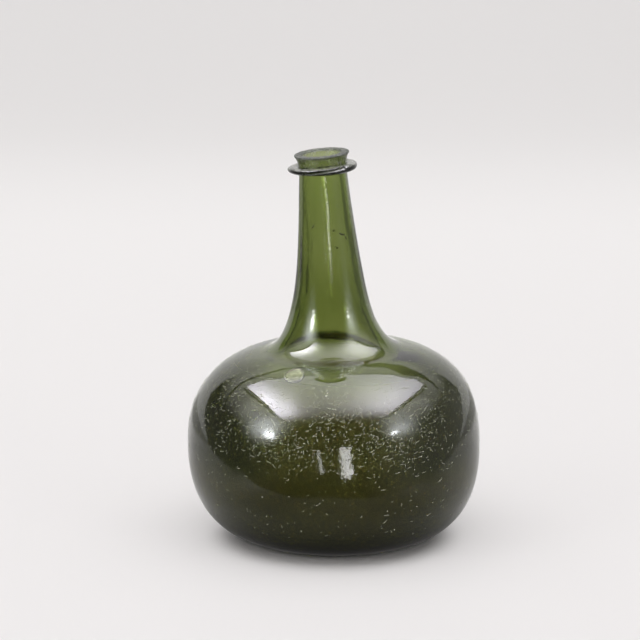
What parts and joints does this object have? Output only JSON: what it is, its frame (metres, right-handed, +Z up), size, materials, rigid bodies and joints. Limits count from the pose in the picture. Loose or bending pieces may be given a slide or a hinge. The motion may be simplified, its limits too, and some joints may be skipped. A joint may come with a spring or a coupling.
{
  "type": "glass wine bottle",
  "caption": "Squat free-blown dark green glass bottle with a long leaning neck, flared lip, wound string rim and pushed-up foot.",
  "frame": {"origin": "middle of the belly's plan, on the surface that the bottle stands on", "axes": "+Z up through the bottle, +X to the right of the pictured front, -Y to the front; the neck leans to -X"},
  "size_m": [0.14, 0.14, 0.1841],
  "materials": {
    "bottle_glass": "dark olive-green blown glass, glossy, seedy and finely scratched",
    "trail_glass": "glossy olive-green glass trail with a grey sheen",
    "scar_glass": "rough broken green glass"
  },
  "bodies": {
    "root": {"bottle_body": "bottle_glass", "string_rim": "trail_glass", "pontil_scar": "scar_glass"}
  },
  "joints": []
}
